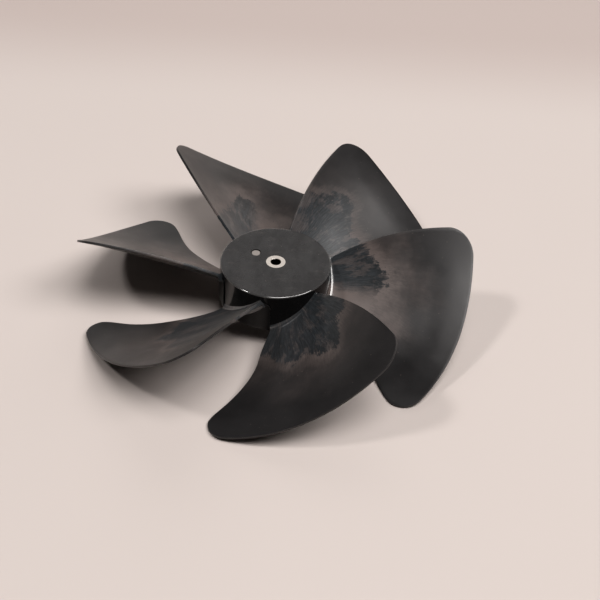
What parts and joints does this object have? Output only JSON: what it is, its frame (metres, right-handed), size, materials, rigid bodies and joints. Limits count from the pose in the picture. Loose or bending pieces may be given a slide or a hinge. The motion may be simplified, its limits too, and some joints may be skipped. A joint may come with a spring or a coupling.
{
  "type": "axial fan impeller",
  "caption": "Moulded plastic axial fan impeller with wide sickle-shaped blades on a cup-shaped hub and a steel shaft bush; it pushes air along its axis when a motor turns it.",
  "frame": {"origin": "on the shaft's axis, in the plane that the six leading tips stand on when the hub faces up", "axes": "+Z along the shaft's axis, out of the hub's closed front face; blade_1's root faces -Y and the blades are numbered counter-clockwise seen from the front"},
  "size_m": [0.403, 0.3986, 0.099],
  "materials": {
    "moulding": "satin charcoal plastic with cloudy flow marks",
    "bush_steel": "bright turned face",
    "screw_steel": "black oxide",
    "plug_steel": "dull grey steel"
  },
  "bodies": {
    "root": {"hub_shell": "moulding", "hub_boss": "moulding", "hub_ribs": "moulding", "shaft_bush": "bush_steel", "set_screw": "screw_steel", "balance_plug": "plug_steel", "blade_1": "moulding", "blade_2": "moulding", "blade_3": "moulding", "blade_4": "moulding", "blade_5": "moulding", "blade_6": "moulding"}
  },
  "joints": []
}
